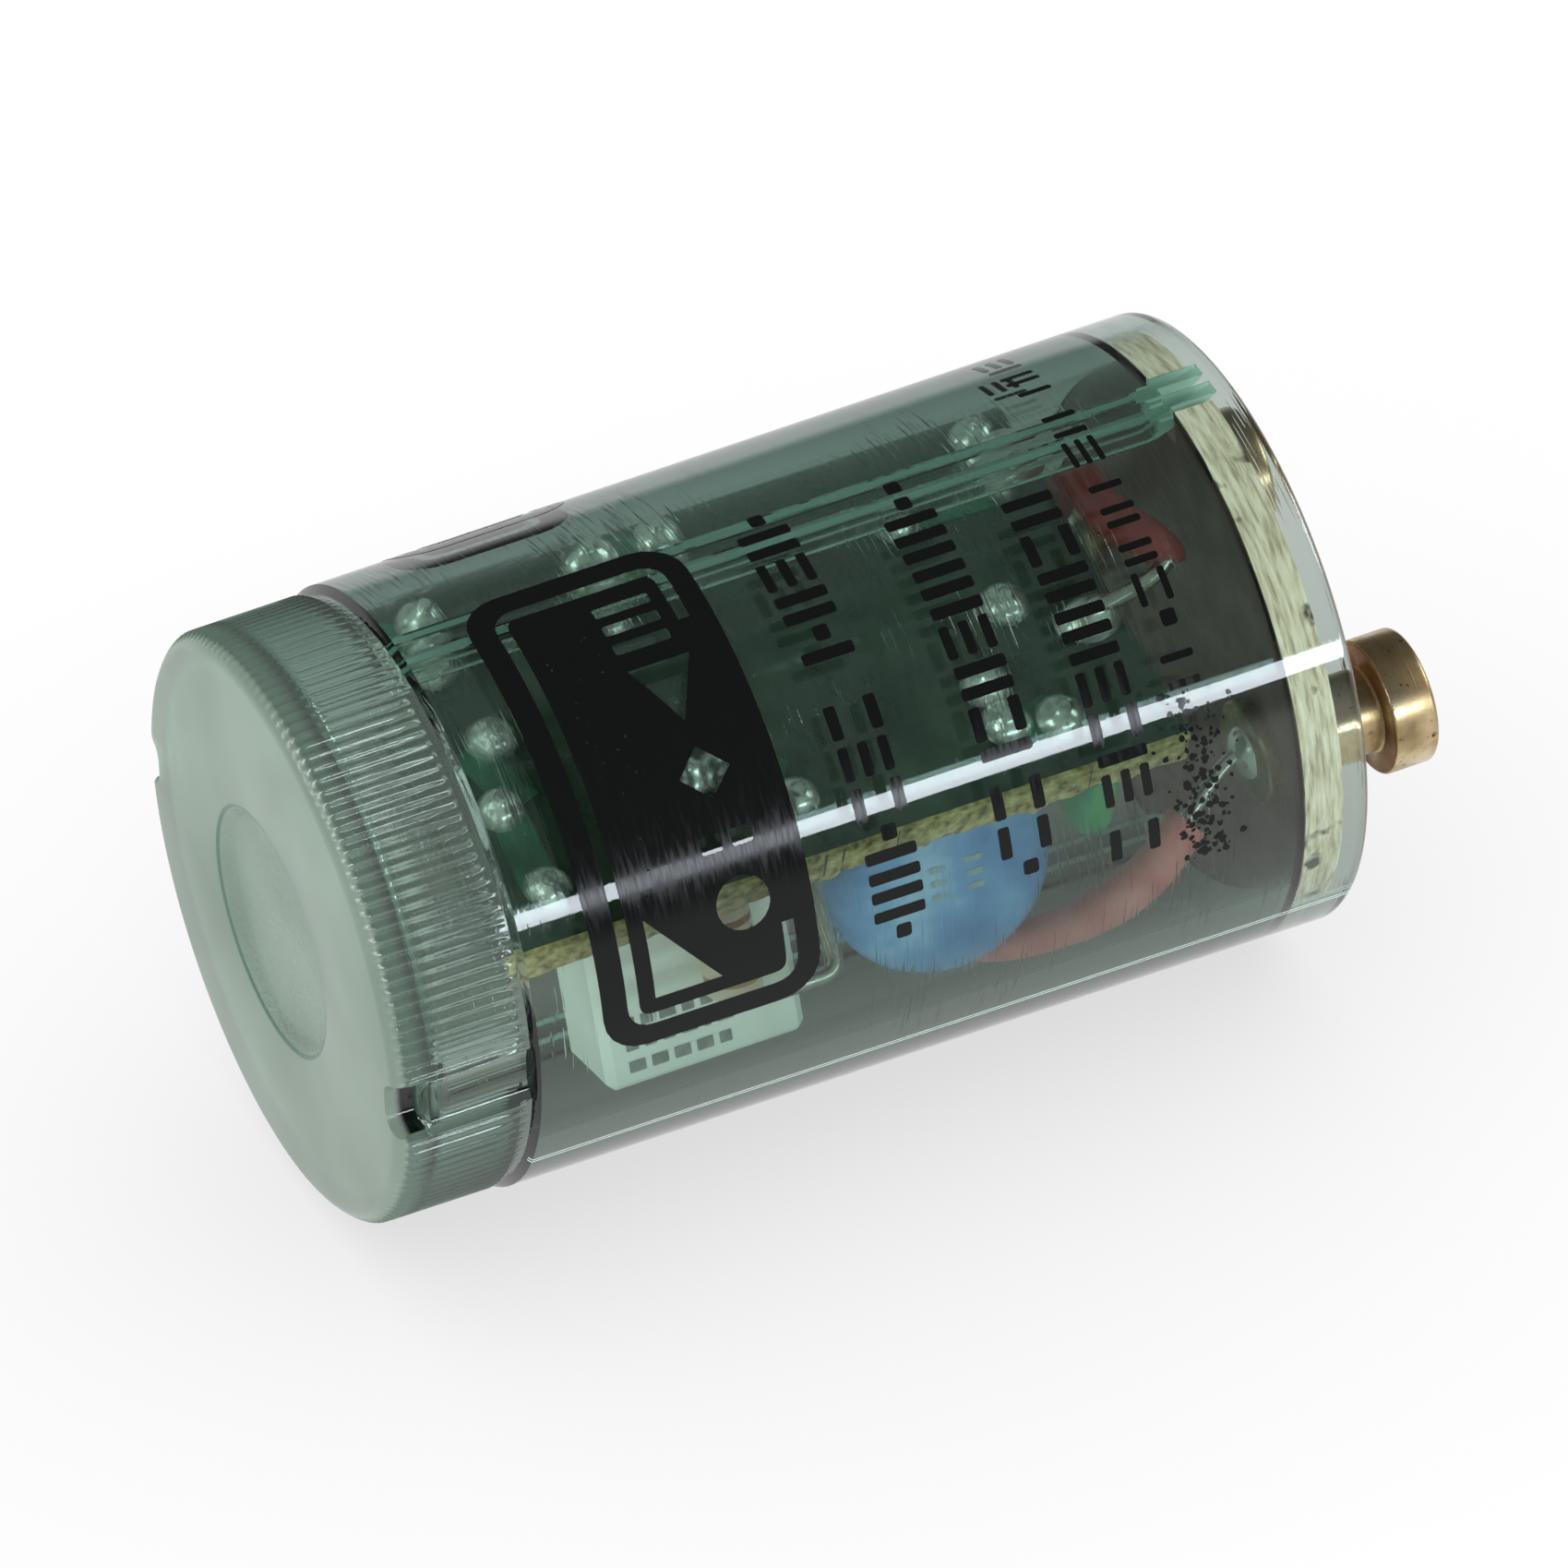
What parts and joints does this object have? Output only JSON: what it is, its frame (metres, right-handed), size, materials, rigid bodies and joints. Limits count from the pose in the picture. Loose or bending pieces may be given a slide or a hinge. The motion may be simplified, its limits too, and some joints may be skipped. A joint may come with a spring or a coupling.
{
  "type": "fluorescent lamp starter",
  "caption": "Clear green plastic canister with a grip band, a recessed base disc with two brass contact pins, and a small circuit board sealed inside.",
  "frame": {"origin": "centre of the flat ring of the closed end, on the canister's axis", "axes": "+Z along the canister's axis from the closed end to the contact pins; the two pins lie on the X axis"},
  "size_m": [0.0214, 0.0214, 0.0389],
  "materials": {
    "clear_green_plastic": "clear moulded polycarbonate, tinted green",
    "pressed_board": "beige fibrous laminate",
    "brass": "turned brass, tarnished",
    "green_laminate": "green lacquered laminate",
    "lacquered_copper": "copper under green lacquer",
    "solder": "bright solder",
    "tinned_copper": "tinned copper",
    "white_film_box": "pale moulded box",
    "blue_coating": "blue dipped coating",
    "green_coating": "green dipped coating",
    "beige_coating": "beige lacquer",
    "brown_coating": "brown lacquer",
    "black_moulding": "black moulding compound",
    "diode_glass": "orange glass diode",
    "red_insulation": "red wire insulation"
  },
  "bodies": {
    "root": {"canister": "clear_green_plastic", "base_disc": "pressed_board", "contact_pin_a": "brass", "contact_pin_b": "brass", "circuit_board": "green_laminate", "copper_tracks": "lacquered_copper", "board_solder": "solder", "pin_solder": "solder", "film_capacitor": "white_film_box", "film_capacitor_leads": "tinned_copper", "disc_capacitor": "blue_coating", "disc_capacitor_leads": "tinned_copper", "green_capacitor": "green_coating", "green_capacitor_leads": "tinned_copper", "upright_resistor": "beige_coating", "upright_resistor_leads": "tinned_copper", "flat_resistor": "brown_coating", "flat_resistor_leads": "tinned_copper", "zener_diode": "diode_glass", "zener_diode_leads": "tinned_copper", "diode_a": "black_moulding", "diode_a_leads": "tinned_copper", "diode_b": "black_moulding", "diode_b_leads": "tinned_copper", "thyristor": "black_moulding", "thyristor_leads": "tinned_copper", "wire_a_insulation": "red_insulation", "wire_a_core": "tinned_copper", "wire_b_insulation": "red_insulation", "wire_b_core": "tinned_copper"}
  },
  "joints": []
}
